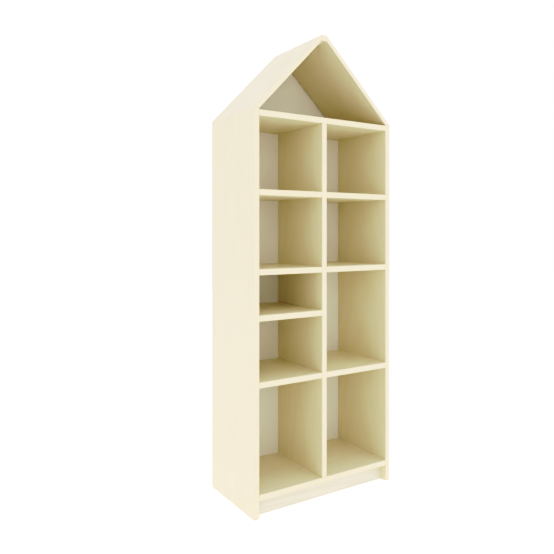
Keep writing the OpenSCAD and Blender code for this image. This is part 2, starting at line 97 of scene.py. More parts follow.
def put_in_scene(name, data):
    thing = bpy.data.objects.new(name, data)
    bpy.context.collection.objects.link(thing)
    return thing


def make_camera():
    lens = bpy.data.cameras.new("photo_camera")
    lens.sensor_width = SENSOR_WIDTH
    lens.lens = SENSOR_WIDTH * FOCAL_PIXELS / PHOTO_SIZE
    lens.shift_y = (HORIZON_ROW - PHOTO_SIZE / 2) / PHOTO_SIZE
    lens.clip_end = FARTHEST_VIEW
    camera = put_in_scene("photo_camera", lens)
    camera.location = CAMERA_PLACE
    camera.rotation_euler = (LEVEL, 0, CAMERA_TURN)
    bpy.context.scene.camera = camera
    return camera


camera = make_camera()
print("lens in millimetres:", round(camera.data.lens, 2))

# %% [markdown]
# ## Light and floor
# The shelf stands in a white studio: light comes from all round, more of it from the front left, and
# the bays are lit only through their openings, which is why they turn a deeper, warmer cream inside.
# A bright world does most of this. A large soft lamp at the front left adds the direction, and a
# smaller one high above the shelf reaches in just behind the front edges. A pale floor throws light
# back up.

# %% Studio
WHITE = (1.0, 1.0, 1.0, 1.0)
WORLD_STRENGTH = 0.973
FRONT_LAMP = {"place": Vector((-1.6, -3.0, 2.6)), "size": 2.6, "power": 9.3}
TOP_LAMP = {"place": Vector((1.5, -0.75, 3.4)), "size": 1.6, "power": 6.5}
LAMP_AIM = Vector((0.0, 0.0, 0.7))
FLOOR_SIZE = 12.0


def make_world():
    world = bpy.data.worlds.new("white_studio")
    world.use_nodes = True
    sky = world.node_tree.nodes["Background"]
    sky.inputs["Color"].default_value = WHITE
    sky.inputs["Strength"].default_value = WORLD_STRENGTH
    bpy.context.scene.world = world


def make_lamp(name, place, size, power):
    light = bpy.data.lights.new(name, "AREA")
    light.shape = "DISK"
    light.size = size
    light.energy = power
    lamp = put_in_scene(name, light)
    lamp.location = place
    lamp.rotation_euler = (LAMP_AIM - place).to_track_quat("-Z", "Y").to_euler()
    return lamp


def make_floor():
    mesh = bpy.data.meshes.new("studio_floor")
    half = FLOOR_SIZE / 2
    corners = [(-half, -half, 0), (half, -half, 0), (half, half, 0), (-half, half, 0)]
    mesh.from_pydata(corners, [], [(0, 1, 2, 3)])
    floor = put_in_scene("studio_floor", mesh)
    return floor


make_world()
floor = make_floor()
lamps = [make_lamp("soft_front_lamp", **FRONT_LAMP), make_lamp("soft_top_lamp", **TOP_LAMP)]
print("lamp distances in metres:", [round((LAMP_AIM - lamp.location).length, 2) for lamp in lamps])

# %% [markdown]
# ## The response of the picture
# A camera doesn't show light as it is. Its response has a soft foot, steep middle tones and a
# shoulder that rolls off towards white. That is why the outer faces look paler, and the bays deeper
# and warmer, than the boards themselves. Painting the boards that way would be wrong from every other
# side, so one curve on the scene's colour settings does it for every channel: the first number of a
# point is the light in the scene, the second is what is shown. Before it, the light of each channel
# passes a curve of its own, close to a straight line, which is the camera's colour balance. Both of
# its numbers are shares of the light that shows as white. It takes a little red out of the pale tones
# and adds a little blue to the deep ones.

# %% Response curve
WHITE_POINT = 0.965
RESPONSE = ((0.05, 0.012), (0.10, 0.058), (0.20, 0.216), (0.35, 0.433), (0.55, 0.672), (0.80, 0.872))
BALANCE = (
    ((0.30, 0.30), (0.43, 0.42), (0.48, 0.466), (0.55, 0.515), (0.78, 0.760), (0.92, 0.898)),
    ((0.20, 0.204), (0.32, 0.314), (0.41, 0.424), (0.52, 0.523), (0.85, 0.834)),
    ((0.08, 0.083), (0.10, 0.109), (0.125, 0.132), (0.19, 0.193), (0.27, 0.278), (0.65, 0.668)),
)


def set_response():
    look = bpy.context.scene.view_settings
    look.view_transform = "Standard"
    look.use_curve_mapping = True
    mapping = look.curve_mapping
    mapping.white_level = (WHITE_POINT, WHITE_POINT, WHITE_POINT)
    red, green, blue, every_channel = mapping.curves
    for light, shown in RESPONSE:
        every_channel.points.new(light / WHITE_POINT, shown).handle_type = "VECTOR"
    for curve, points in zip((red, green, blue), BALANCE):
        for light, balanced in points:
            curve.points.new(light, balanced).handle_type = "VECTOR"
    mapping.update()
    return [len(curve.points) for curve in mapping.curves]


print("points on the curves:", set_response())

# %% [markdown]
# ## How a finish is made
# A finish is a small tree of shader nodes. An image would need unwrapping and would blur close by, so
# every pattern here is worked out from the place of the point on the shelf, in the shelf's own metres:
# a chip of wood or a pore keeps its real size on every board. A few helpers keep the trees short. They
# add a node and plug in what it is given, do sums, and mix two colours by a mask.

# %% Shader helpers
# A Mix node has sockets for numbers, vectors and colours side by side, and some share a name. So the
# ones that mix colours are picked by their place in the row.
MIX_MASK = 0
MIX_LOW = 6
MIX_HIGH = 7
MIX_RESULT = 2


def add_node(tree, kind, inputs, **settings):
    node = tree.nodes.new(kind)
    for name, value in settings.items():
        setattr(node, name, value)
    for socket, value in inputs.items():
        if isinstance(value, bpy.types.NodeSocket):
            tree.links.new(value, node.inputs[socket])
        else:
            node.inputs[socket].default_value = value
    return node


def maths(tree, operation, *values, **settings):
    inputs = dict(enumerate(values))
    return add_node(tree, "ShaderNodeMath", inputs, operation=operation, **settings).outputs["Value"]


def vector_maths(tree, operation, *values):
    node = add_node(tree, "ShaderNodeVectorMath", dict(enumerate(values)), operation=operation)
    return node.outputs["Value" if operation in ("DOT_PRODUCT", "LENGTH") else "Vector"]


def weigh(tree, parts, start=0.0):
    total = start
    for value, weight in parts:
        total = maths(tree, "MULTIPLY_ADD", value, weight, total)
    return total


def mix_colours(tree, mask, low, high):
    inputs = {MIX_MASK: mask, MIX_LOW: low, MIX_HIGH: high}
    return add_node(tree, "ShaderNodeMix", inputs, data_type="RGBA").outputs[MIX_RESULT]


print("sockets of a colour mix:", MIX_MASK, MIX_LOW, MIX_HIGH, "and out of", MIX_RESULT)

# %% Patterns and a new finish
# Most of a noise lies between these two values
NOISE_LOW = 0.3
NOISE_HIGH = 0.7


def noise(tree, place, scale, detail=2.0):
    node = add_node(tree, "ShaderNodeTexNoise", {"Vector": place, "Scale": scale, "Detail": detail})
    return node.outputs["Fac"]


def spread(tree, value, low, high, to_low=0.0, to_high=1.0):
    inputs = {"Value": value, "From Min": low, "From Max": high, "To Min": to_low, "To Max": to_high}
    return add_node(tree, "ShaderNodeMapRange", inputs).outputs["Result"]


def mottled(tree, pattern, light, shade):
    return mix_colours(tree, spread(tree, pattern, NOISE_LOW, NOISE_HIGH), light, shade)


def new_finish(name, roughness=0.5, metallic=0.0):
    finish = bpy.data.materials.new(name)
    finish.use_nodes = True
    tree = finish.node_tree
    shader = tree.nodes["Principled BSDF"]
    shader.inputs["Roughness"].default_value = roughness
    shader.inputs["Metallic"].default_value = metallic
    place = tree.nodes.new("ShaderNodeTexCoord").outputs["Object"]
    return finish, tree, shader, place


def facing(tree, way):
    normal = tree.nodes["Texture Coordinate"].outputs["Normal"]
    return vector_maths(tree, "DOT_PRODUCT", normal, tuple(way))


def set_bump(tree, shader, height, depth, strength):
    bump = add_node(tree, "ShaderNodeBump", {"Height": height, "Distance": depth, "Strength": strength})
    tree.links.new(bump.outputs["Normal"], shader.inputs["Normal"])


print("most of a noise lies between", NOISE_LOW, "and", NOISE_HIGH)

# %% [markdown]
# ## Cream melamine on chipboard
# The board is chipboard with a printed paper and melamine pressed on both faces. The print is a very
# pale wood: long streaks and soft arches that run along the board, a shade deeper than the cream. An
# arch is what a saw shows when it meets the rings of a trunk at a low angle, so the print is made that
# way too: rings round a trunk whose axis leans a little to the face. Some boards get a cream of their
# own that is painted light and shade: the plinth is painted whiter for the light the floor throws up at
# it, the bottom shelf a trace paler for the light that falls in at the front of the bays, the left roof
# board paler for the light from above, and the right one deeper as painted shade for its underside.
#
# Where the saw or the drill has cut the board, chips show. The direction of the surface tells face and
# cut apart, so every bore gets its chips without any painting.

# %% Printed wood
# A wave texture of scale 1 repeats after this many metres
WAVE_LENGTH = math.tau / 20
RING_STEP = 0.019
RING_DEPTH = 0.03
RING_LEAN = 0.085
RING_DRIFT = 0.35
RING_SWAY = 0.045
SWAY_STRETCH = (1.6, 5.0, 3.0)
STREAK_STRETCH = (3.0, 260.0, 260.0)
MOTTLE_STRETCH = (5.0, 26.0, 10.0)
PRINT_DETAIL = 3.0
RINGS_SHARE = 0.42
STREAKS_SHARE = 0.45
MOTTLE_SHARE = 0.75
PRINT_START = -0.35


def board_ways(tree, place, along, face):
    across = Vector(face).cross(Vector(along))
    return [vector_maths(tree, "DOT_PRODUCT", place, tuple(way)) for way in (along, across, face)]


def stretched_noise(tree, ways, stretch):
    scaled = [maths(tree, "MULTIPLY", way, factor) for way, factor in zip(ways, stretch)]
    spot = add_node(tree, "ShaderNodeCombineXYZ", dict(zip("XYZ", scaled))).outputs["Vector"]
    return noise(tree, spot, 1.0, PRINT_DETAIL)


def printed_wood(tree, ways):
    along, across, depth = ways
    sway = stretched_noise(tree, ways, SWAY_STRETCH)
    from_heart = weigh(tree, [(across, 1.0), (sway, RING_SWAY)], -RING_SWAY / 2)
    below_face = weigh(tree, [(along, RING_LEAN), (depth, RING_DRIFT), (sway, RING_SWAY)], RING_DEPTH)
    spot = add_node(tree, "ShaderNodeCombineXYZ", {"X": from_heart, "Y": below_face}).outputs["Vector"]
    rings = add_node(
        tree, "ShaderNodeTexWave", {"Vector": spot, "Scale": WAVE_LENGTH / RING_STEP},
        wave_type="RINGS", rings_direction="Z",
    ).outputs["Fac"]
    streaks = stretched_noise(tree, ways, STREAK_STRETCH)
    mottle = stretched_noise(tree, ways, MOTTLE_STRETCH)
    parts = [(rings, RINGS_SHARE), (streaks, STREAKS_SHARE), (mottle, MOTTLE_SHARE)]
    return weigh(tree, parts, PRINT_START)


print("rings every", round(RING_STEP / MM), "mm, streaks every", round(1 / STREAK_STRETCH[1] / MM, 1), "mm")

# %% Chipboard
CHIP_LIGHT = (0.56, 0.42, 0.26, 1.0)
CHIP_DARK = (0.27, 0.17, 0.09, 1.0)
CHIPS_PER_METRE = 330.0
CHIP_STRETCH = (1.0, 0.55, 1.3)
DUST_PER_METRE = 120.0
CHIPS_SHARE = 0.7
DUST_SHARE = 0.5
CHIP_START = -0.1


def chipboard(tree, place):
    dust = noise(tree, place, DUST_PER_METRE)
    spot = vector_maths(tree, "MULTIPLY", place, CHIP_STRETCH)
    chips = add_node(tree, "ShaderNodeTexVoronoi", {"Vector": spot, "Scale": CHIPS_PER_METRE})
    tone = weigh(tree, [(chips.outputs["Color"], CHIPS_SHARE), (dust, DUST_SHARE)], CHIP_START)
    return mix_colours(tree, tone, CHIP_LIGHT, CHIP_DARK)


print("chips every", round(1 / CHIPS_PER_METRE / MM, 1), "mm")

# %% Melamine finish
# Each tone is the cream of the paper and the shade of its print
TONES_AND_PAINTED_LIGHT = {
    "board": ((0.762, 0.680, 0.466, 1.0), (0.736, 0.648, 0.425, 1.0)),
    # Painted light and shade: the next three are paler for light that falls on them, the last one deeper
    # for shade
    "bottom_shelf": ((0.776, 0.694, 0.496, 1.0), (0.750, 0.662, 0.453, 1.0)),
    "plinth": ((0.750, 0.696, 0.545, 1.0), (0.670, 0.611, 0.447, 1.0)),
    "roof_left": ((0.790, 0.706, 0.498, 1.0), (0.750, 0.664, 0.448, 1.0)),
    "roof_right": ((0.680, 0.598, 0.402, 1.0), (0.652, 0.566, 0.368, 1.0)),
}
MELAMINE_ROUGHNESS = (0.40, 0.46)
FACE_LIMIT = 0.7
EMBOSS_PER_METRE = 1400.0
EMBOSS_DEPTH = 0.05 * MM
EMBOSS_STRENGTH = 0.35


def melamine(name, face, along, tone):
    finish, tree, shader, place = new_finish(name)
    grain = printed_wood(tree, board_ways(tree, place, along, face))
    is_cut = maths(tree, "LESS_THAN", maths(tree, "ABSOLUTE", facing(tree, face)), FACE_LIMIT)
    cream = mix_colours(tree, grain, *TONES_AND_PAINTED_LIGHT[tone])
    colour = mix_colours(tree, is_cut, cream, chipboard(tree, place))
    tree.links.new(colour, shader.inputs["Base Color"])
    satin = spread(tree, grain, 0.0, 1.0, *MELAMINE_ROUGHNESS)
    # A cut is rough all over: its mask of 1 takes the sum up to the clamp
    roughness = maths(tree, "ADD", satin, is_cut, use_clamp=True)
    tree.links.new(roughness, shader.inputs["Roughness"])
    set_bump(tree, shader, noise(tree, place, EMBOSS_PER_METRE), EMBOSS_DEPTH, EMBOSS_STRENGTH)
    return finish


print("tones of melamine:", len(TONES_AND_PAINTED_LIGHT))

# %% Boards and the way their print runs
# In the frame x runs to the right, y to the rear and z up
RIGHT = (1, 0, 0)
REAR = (0, 1, 0)
UP = (0, 0, 1)
shelves = [n for n in frame["nodes"] if n.startswith("shelf_")]
# For each finish: its boards, where their faces look, where the print runs, and the tone
boards_of = {
    "upright": (["side_left", "side_right", "divider"], RIGHT, UP, "board"),
    "lying": (["top_shelf"] + shelves, UP, RIGHT, "board"),
    # The bottom shelf and the plinth take tones with painted light
    "bottom": (["bottom_shelf"], UP, RIGHT, "bottom_shelf"),
    "plinth": (["plinth"], REAR, RIGHT, "plinth"),
    "ridge_bar": (["ridge_bar"], UP, REAR, "board"),
}


def fall_of(side):
    low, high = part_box("roof_" + side)
    bar_low, bar_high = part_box("ridge_bar")
    eave_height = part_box("side_" + side)[1][2]
    run = high[0] - bar_high[0] if side == "right" else low[0] - bar_low[0]
    return Vector((run, 0, eave_height - high[2])).normalized()


def finish_nodes(names, finish):
    for name in names:
        mesh = frame["nodes"][name].data
        mesh.materials.clear()
        mesh.materials.append(finish)


for side in ("left", "right"):
    fall = fall_of(side)
    board = "roof_" + side
    # Each roof board takes a tone of its own: painted light on the left one, painted shade on the right one
    boards_of[board] = ([board], fall.cross(Vector(REAR)), fall, board)
    print(board, "falls at", round(math.degrees(math.asin(-fall.z)), 1), "degrees")
for name, (boards, face, along, tone) in boards_of.items():
    finish_nodes(boards, melamine("melamine_" + name, face, along, tone))
    print("melamine_" + name, "on boards:", len(boards))

# %% [markdown]
# ## White hardboard back
# The back is 3 mm hardboard, lacquered off-white on the face that shows in the bays and left brown and
# fibrous behind. Two materials would need the panel's faces sorted by hand. One material does both
# sides, because the sign of the surface direction picks the side.

# %% Hardboard finish
LACQUER = ((0.853, 0.811, 0.702, 1.0), (0.841, 0.799, 0.688, 1.0))
LACQUER_ROUGHNESS = 0.45
HAZE_PER_METRE = 9.0
FIBRE = ((0.40, 0.27, 0.16, 1.0), (0.24, 0.15, 0.08, 1.0))
FIBRE_ROUGHNESS = 0.85
FIBRES_PER_METRE = 260.0
FIBRES_SHARE = 1.6
CLOUDS_PER_METRE = 14.0
CLOUDS_SHARE = 0.6
FIBRE_START = -0.6
FIBRE_DEPTH = 0.08 * MM
FRONT_LIMIT = -0.5


def hardboard(name):
    finish, tree, shader, place = new_finish(name)
    lacquer = mottled(tree, noise(tree, place, HAZE_PER_METRE, detail=3.0), *LACQUER)
    fibres = noise(tree, place, FIBRES_PER_METRE, detail=6.0)
    clouds = noise(tree, place, CLOUDS_PER_METRE, detail=3.0)
    tone = weigh(tree, [(fibres, FIBRES_SHARE), (clouds, CLOUDS_SHARE)], FIBRE_START)
    is_bare = maths(tree, "GREATER_THAN", facing(tree, REAR), FRONT_LIMIT)
    colour = mix_colours(tree, is_bare, lacquer, mix_colours(tree, tone, *FIBRE))
    tree.links.new(colour, shader.inputs["Base Color"])
    roughness = spread(tree, is_bare, 0.0, 1.0, LACQUER_ROUGHNESS, FIBRE_ROUGHNESS)
    tree.links.new(roughness, shader.inputs["Roughness"])
    set_bump(tree, shader, fibres, FIBRE_DEPTH, strength=0.4)
    return finish


finish_nodes(["back_panel"], hardboard("lacquered_hardboard"))

# %% [markdown]
# ## Plastic, metal and beech
# The bands are cream plastic, a touch yellower than the faces. The fittings are die-cast zinc, plated
# steel, plastic and beech. None of these is quite even: moulded plastic has a fine haze and pores,
# plating and castings have crystals, and beech has short fibres along the dowel. Pictures of them would
# blur on pieces of a few millimetres, so noise does it. Metal and wood have one, at the scale of the
# crystals or fibres, which drives the colour and the bump together. Plastic has two, a wide one for the
# haze and a fine one for the pores.

# %% Small finishes
BAND = ((0.762, 0.676, 0.450, 1.0), (0.746, 0.658, 0.432, 1.0))
NYLON = ((0.74, 0.73, 0.68, 1.0), (0.70, 0.69, 0.64, 1.0))
PLATED_STEEL = ((0.66, 0.67, 0.69, 1.0), (0.52, 0.53, 0.56, 1.0))
DIE_CAST = ((0.50, 0.50, 0.51, 1.0), (0.40, 0.40, 0.41, 1.0))
BEECH = ((0.60, 0.42, 0.25, 1.0), (0.44, 0.28, 0.15, 1.0))
PLASTIC_HAZE_PER_METRE = 30.0
PLASTIC_PORES_PER_METRE = 900.0
FIBRE_STRETCH = (60, 700, 700)


def plastic(name, colours, roughness):
    finish, tree, shader, place = new_finish(name, roughness)
    colour = mottled(tree, noise(tree, place, PLASTIC_HAZE_PER_METRE, detail=3.0), *colours)
    tree.links.new(colour, shader.inputs["Base Color"])
    pores = noise(tree, place, PLASTIC_PORES_PER_METRE)
    set_bump(tree, shader, pores, depth=0.03 * MM, strength=0.3)
    return finish


def metal(name, colours, roughness, crystals_per_metre):
    finish, tree, shader, place = new_finish(name, roughness, metallic=1.0)
    crystals = noise(tree, place, crystals_per_metre, detail=4.0)
    tree.links.new(mottled(tree, crystals, *colours), shader.inputs["Base Color"])
    set_bump(tree, shader, crystals, depth=0.02 * MM, strength=0.4)
    return finish


def beech(name):
    finish, tree, shader, place = new_finish(name, roughness=0.7)
    grain = noise(tree, vector_maths(tree, "MULTIPLY", place, FIBRE_STRETCH), 1.0, detail=4.0)
    tree.links.new(mottled(tree, grain, *BEECH), shader.inputs["Base Color"])
    set_bump(tree, shader, grain, depth=0.05 * MM, strength=0.5)
    return finish


FINISH_OF_SLOT = {
    "edge_band": plastic("band_plastic", BAND, roughness=0.38),
    "cover_plastic": plastic("cover_plastic", TONES_AND_PAINTED_LIGHT["board"], roughness=0.45),
    "glide_plastic": plastic("glide_nylon", NYLON, roughness=0.5),
    "zinc": metal("plated_steel", PLATED_STEEL, roughness=0.35, crystals_per_metre=500.0),
    "die_cast": metal("die_cast_zinc", DIE_CAST, roughness=0.5, crystals_per_metre=900.0),
    "beech": beech("raw_beech"),
}
slot_of = {part["node"]: part["material_slot"] for part in frame["record"]["subparts"]}
for slot, finish in FINISH_OF_SLOT.items():
    nodes = [n for n in slot_of if slot_of[n] == slot]
    finish_nodes(nodes, finish)
    print(slot, "on nodes:", len(nodes))

# %% [markdown]
# ## A floor lit from below
# A product table of milky acrylic with lamps under it leaves no shadow at all around the product. The
# floor does the same: it glows a little everywhere, and a bit more around the shelf's feet, where it
# makes up for the light that the shelf keeps away. It also throws light up at the plinth. A floor that
# is only white would turn grey there, however strong the lamps.

# %% Floor finish
FLOOR_WHITE = ((0.93, 0.93, 0.93, 1.0), (0.92, 0.92, 0.92, 1.0))
FLOOR_GLOW = 0.30
FEET_GLOW = 0.42
FEET_REACH = 0.45


def lit_floor():
    finish = plastic("studio_floor", FLOOR_WHITE, roughness=0.8)
    tree = finish.node_tree
    place = tree.nodes["Texture Coordinate"].outputs["Object"]
    # How far a point lies outside the shelf's outline on the floor
    half = ((cad_high[0] - cad_low[0]) / 2, (cad_high[1] - cad_low[1]) / 2, 0.0)
    beyond = vector_maths(tree, "SUBTRACT", vector_maths(tree, "ABSOLUTE", place), half)
    distance = vector_maths(tree, "LENGTH", vector_maths(tree, "MAXIMUM", beyond, (0.0, 0.0, 0.0)))
    near = FEET_GLOW * WORLD_STRENGTH
    far = FLOOR_GLOW * WORLD_STRENGTH
    shader = tree.nodes["Principled BSDF"]
    shader.inputs["Emission Color"].default_value = WHITE
    glow = spread(tree, distance, 0.0, FEET_REACH, near, far)
    tree.links.new(glow, shader.inputs["Emission Strength"])
    return finish


floor.data.materials.append(lit_floor())
print("glow of the floor, far and near:", FLOOR_GLOW, FEET_GLOW)

# %% [markdown]
# ## Edge bands with rounded arrises
# A band is a plastic strip, glued to the cut edge and then trimmed, which rounds its two outer arrises
# to a bit less than its thickness and leaves a hairline beside the face. The strips of the construction
# model have sharp corners. Each is copied here, its triangles are dissolved into whole faces, and a
# bevel rounds the edges that lie in its outermost plane. A modifier would round the glue side too. The
# bevel numbers its new points in another order each run, so at the end they are numbered by place.

# %% Helpers for new pieces
MERGE_DISTANCE = 0.001 * MM
SAME_PLANE = math.radians(1)
SMOOTH_BELOW = math.radians(35)


def merged_copy(node):
    shape = bmesh.new()
    shape.from_mesh(frame["nodes"][node].data)
    bmesh.ops.remove_doubles(shape, verts=shape.verts, dist=MERGE_DISTANCE)
    return shape


def whole_faces(node):
    shape = merged_copy(node)
    bmesh.ops.dissolve_limit(shape, angle_limit=SAME_PLANE, verts=shape.verts, edges=shape.edges)
    return shape


def bevel(shape, edges, offset, segments):
    bmesh.ops.bevel(shape, geom=edges, offset=offset, segments=segments, profile=0.5, affect="EDGES")


def add_piece(name, shape, slot):
    bmesh.ops.recalc_face_normals(shape, faces=shape.faces)
    mesh = bpy.data.meshes.new(name)
    shape.to_mesh(mesh)
    shape.free()
    mesh.materials.append(FINISH_OF_SLOT[slot])
    piece = put_in_scene(name, mesh)
    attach(piece, "root")
    return piece


def replace_node(name, shape, node):
    piece = add_piece(name, shape, slot_of[node])
    faces = piece.data.polygons
    faces.foreach_set("use_smooth", [True] * len(faces))
    piece.data.set_sharp_from_angle(angle=SMOOTH_BELOW)
    piece.modifiers.new("keep_flat_faces_flat", "WEIGHTED_NORMAL").keep_sharp = True
    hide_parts(node)
    return piece


print("a new piece is shaded smooth below", round(math.degrees(SMOOTH_BELOW)), "degrees")

# %% Bands
BAND_THICKNESS = 1.0 * MM
ARRIS_RADIUS = 0.8 * MM
GLUE_LINE = 0.12 * MM
ON_PLANE = 0.01 * MM
# A node deeper than this has a band on the rear edge too
SINGLE_BAND_DEPTH = 10 * MM


def lies_in(edge, planes):
    return any(all(abs(v.co.y - plane) < ON_PLANE for v in edge.verts) for plane in planes)


def numbered_by_place(shape):
    points = sorted(shape.verts, key=lambda v: tuple(v.co))
    number_of = {point: number for number, point in enumerate(points)}
    faces = [[number_of[v] for v in face.verts] for face in shape.faces]
    numbered = bmesh.new()
    verts = [numbered.verts.new(point.co) for point in points]
    for corners in sorted(faces, key=sorted):
        numbered.faces.new([verts[i] for i in corners])
    shape.free()
    return numbered


def round_band(node):
    shape = whole_faces(node)
    low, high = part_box(node)
    has_rear_band = high[1] - low[1] > SINGLE_BAND_DEPTH
    outer = (low[1], high[1]) if has_rear_band else (low[1],)
    inner = (low[1] + BAND_THICKNESS, high[1] - BAND_THICKNESS) if has_rear_band else (high[1],)
    bevel(shape, [e for e in shape.edges if lies_in(e, outer)], ARRIS_RADIUS, segments=4)
    bevel(shape, [e for e in shape.edges if lies_in(e, inner)], GLUE_LINE, segments=1)
    return replace_node("rounded_" + node, numbered_by_place(shape), node)


bands = [round_band(n) for n in frame["nodes"] if n.startswith("band_")]
print("bands rounded:", len(bands), "faces each:", sorted({len(b.data.polygons) for b in bands}))

# %% [markdown]
# ## Turned fittings
# Bolts, dowels, screws, covers, nails and glides are round, so each is a profile turned about its axis.
# A real one isn't always round all the way: a dowel is fluted and a socket has six sides. So a radius in
# a profile may be a number or a rule that gives the radius for an angle. Profiles are in millimetres, as
# radius and height. Where a fitting goes is read from the construction model: every loose solid of a
# node has a box, which gives the place, the length and the radius. Typed in, they would stay behind when
# a shelf moves.

# %% Where the fittings of a node are
Spot = namedtuple("Spot", "matrix length radius")


def loose_boxes(node):
    shape = merged_copy(node)
    unseen = set(shape.verts)
    boxes = []
    while unseen:
        solid = {unseen.pop()}
        border = set(solid)
        while border:
            border = {e.other_vert(v) for v in border for e in v.link_edges} & unseen
            unseen -= border
            solid |= border
        low = Vector([min(v.co[i] for v in solid) for i in range(3)])
        high = Vector([max(v.co[i] for v in solid) for i in range(3)])
        boxes.append((low, high))
    shape.free()
    return sorted(boxes, key=lambda b: [round(c, 5) for c in b[0]])


def spots_of(node, direction=None):
    spots = []
    for low, high in loose_boxes(node):
        size = high - low
        longest = max(range(3), key=lambda i: size[i])
        way = direction or [float(i == longest) for i in range(3)]
        axis = max(range(3), key=lambda i: abs(way[i]))
        start = (low + high) / 2 - Vector([w * s / 2 for w, s in zip(way, size)])
        to_way = Vector(UP).rotation_difference(Vector(way))
        matrix = Matrix.Translation(start) @ to_way.to_matrix().to_4x4()
        spots.append(Spot(matrix, size[axis] / MM, size[(axis + 1) % 3] / MM / 2))
    return spots


print("fittings in one node of bolts:", len(spots_of("bolts_side_left", RIGHT)))

# %% Turning
def point_at(radius, angle, height):
    return Vector((radius * math.cos(angle), radius * math.sin(angle), height)) * MM


def turn(shape, spot, profile, sides):
    rings = []
    for radius, height in profile:
        ring = []
        # On the axis one point stands for the whole ring
        for i in range(1 if radius == 0 else sides):
            angle = math.tau * i / sides
            reach = radius(angle) if callable(radius) else radius
            ring.append(shape.verts.new(spot.matrix @ point_at(reach, angle, height)))
        rings.append(ring)
    for a, b in zip(rings, rings[1:]):
        for i in range(sides):
            corners = [a[i % len(a)], a[(i + 1) % len(a)], b[(i + 1) % len(b)], b[i % len(b)]]
            shape.faces.new(list(dict.fromkeys(corners)))


def turned(profile, sides):
    return lambda shape, spot: turn(shape, spot, profile, sides)


def build_at(spots, build):
    shape = bmesh.new()
    for spot in spots:
        build(shape, spot)
    return shape


def refit(prefix, node, build, direction=None):
    spots = spots_of(node, direction)
    replace_node(prefix + node, build_at(spots, build), node)
    return len(spots)


# %% [markdown]
# ### Threads
# A thread is a ridge that winds up the core. A screw modifier on a small profile would make one too,
# but it ends in an open cut, while a real thread runs out. Here the ridge is laid step by step: three
# points, two feet a little inside the core and the crest between them, and the crest sinks into the
# core over the first and the last turn.

# %% Threads
# The feet lie this many millimetres inside the core. Heights are shares of the pitch.
THREAD_ROOT = 0.15
LOWER_FOOT = 0.12
CREST = 0.5
UPPER_FOOT = 0.88


def add_thread(shape, spot, core, crest, pitch, start, end, sides):
    steps = int((end - start - pitch) / pitch * sides)
    foot = core - THREAD_ROOT
    rows = []
    for i in range(steps + 1):
        angle = math.tau * i / sides
        rise = start + pitch * i / sides
        fade = min(1.0, i / sides, (steps - i) / sides)
        ridge = ((foot, LOWER_FOOT), (core + (crest - core) * fade, CREST), (foot, UPPER_FOOT))
        points = [point_at(radius, angle, rise + share * pitch) for radius, share in ridge]
        rows.append([shape.verts.new(spot.matrix @ point) for point in points])
    for a, b in zip(rows, rows[1:]):
        for i in range(3):
            shape.faces.new((a[i], a[(i + 1) % 3], b[(i + 1) % 3], b[i]))
    shape.faces.new(rows[0])
    shape.faces.new(rows[-1][::-1])


print("a thread's ridge covers", round(UPPER_FOOT - LOWER_FOOT, 2), "of its pitch")

# %% [markdown]
# ### Cam bolts
# A cam bolt screws into the upright with a coarse euro thread, seats on a collar, and its ball-shaped
# head is caught by the cam in the shelf. The double one has two such heads and no thread. The head and
# the collar are one profile, so the double bolt is made of the same numbers, mirrored.

# %% Cam bolts
# Heights of the collar and the head are counted from the seat, where the threaded end stops
LEFT = (-1, 0, 0)
BOLT_SIDES = 24
BOLT_SEAT = 11.0
BOLT_CORE = 1.9
THREADED_END = [(0, 0.0), (1.5, 0.0), (BOLT_CORE, 0.5), (BOLT_CORE, BOLT_SEAT)]
COLLAR_INNER_HALF = [(3.45, 0.0), (3.7, 0.25)]
COLLAR_OUTER_HALF = [(3.7, 2.75), (3.45, 3.0), (2.8, 3.0)]
BOLT_HEAD = [
    (2.8, 28.6), (2.3, 29.3), (1.9, 29.3), (1.9, 32.8), (2.9, 32.9), (3.4, 33.4),
    (3.5, 34.0), (3.4, 34.6), (2.9, 35.1), (1.4, 35.2), (0, 35.2),
]
BOLT_REACH = BOLT_HEAD[-1][1]


def cam_bolt(shape, spot):
    above_seat = COLLAR_INNER_HALF + COLLAR_OUTER_HALF + BOLT_HEAD
    profile = THREADED_END + [(radius, BOLT_SEAT + height) for radius, height in above_seat]
    turn(shape, spot, profile, BOLT_SIDES)
    add_thread(shape, spot, core=BOLT_CORE, crest=2.5, pitch=2.4, start=0.3, end=10.8, sides=16)


def double_bolt(shape, spot):
    seat = spot.length - BOLT_REACH
    right = [(radius, seat + height) for radius, height in COLLAR_OUTER_HALF + BOLT_HEAD]
    left = [(radius, spot.length - height) for radius, height in reversed(right)]
    turn(shape, spot, left + right, BOLT_SIDES)


bolts = {
    "side_left": refit("threaded_", "bolts_side_left", cam_bolt, RIGHT),
    "side_right": refit("threaded_", "bolts_side_right", cam_bolt, LEFT),
    "divider": refit("threaded_", "bolts_divider", cam_bolt, LEFT),
    "double": refit("turned_", "bolts_double", double_bolt, RIGHT),
}
print("cam bolts:", bolts)

# %% [markdown]
# ### Dowels
# A dowel is beech with pressed flutes, which let the glue and the air out, and a chamfer at each end.
# The flutes are a rule for the radius that rises and falls with the angle, so no groove has to be cut.

# %% Dowels
DOWEL_FLUTES = 12
FLUTE_DEPTH = 0.3
CHAMFER = 1.0
CHAMFER_LENGTH = 1.2


def fluted(radius):
    return lambda angle: radius - FLUTE_DEPTH * (0.5 - 0.5 * math.cos(DOWEL_FLUTES * angle))


def dowel(shape, spot):
    body = fluted(spot.radius)
    tip = spot.radius - CHAMFER
    profile = [
        (0, 0), (tip, 0), (body, CHAMFER_LENGTH), (body, spot.length / 2),
        (body, spot.length - CHAMFER_LENGTH), (tip, spot.length), (0, spot.length),
    ]
    turn(shape, spot, profile, sides=2 * DOWEL_FLUTES)


dowel_nodes = [n for n in frame["nodes"] if n.startswith("dowels_")]
print("dowels:", {n: refit("fluted_", n, dowel) for n in dowel_nodes})

